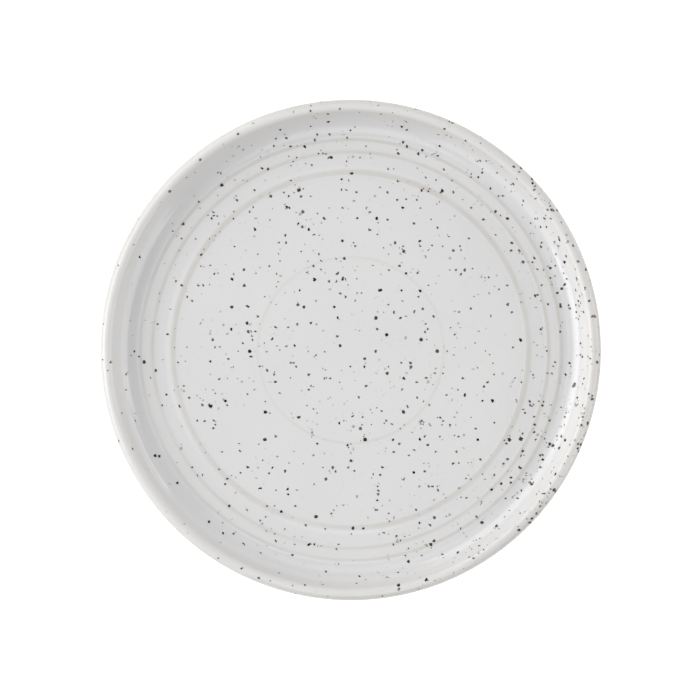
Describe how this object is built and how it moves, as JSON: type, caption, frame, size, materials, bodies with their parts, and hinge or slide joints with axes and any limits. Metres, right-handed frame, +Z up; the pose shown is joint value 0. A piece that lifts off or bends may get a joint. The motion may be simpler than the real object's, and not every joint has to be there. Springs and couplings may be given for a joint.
{
  "type": "coupe dinner plate",
  "caption": "Round stoneware coupe dinner plate with a flat well, throwing rings, a short upright wall, a rounded rim and a bare foot ring, in a speckled white glaze.",
  "frame": {"origin": "centre of the foot ring, on the plane that the plate stands on", "axes": "+Z up along the plate's axis; X and Y are any two directions across the plate"},
  "size_m": [0.27, 0.27, 0.021],
  "materials": {
    "stoneware": "unglazed, finely sanded fired clay",
    "speckled_glaze": "glossy off-white glaze with dark iron specks"
  },
  "bodies": {
    "root": {"clay_body": "stoneware", "face_glaze": "speckled_glaze", "outer_glaze": "speckled_glaze", "base_glaze": "speckled_glaze"}
  },
  "joints": []
}
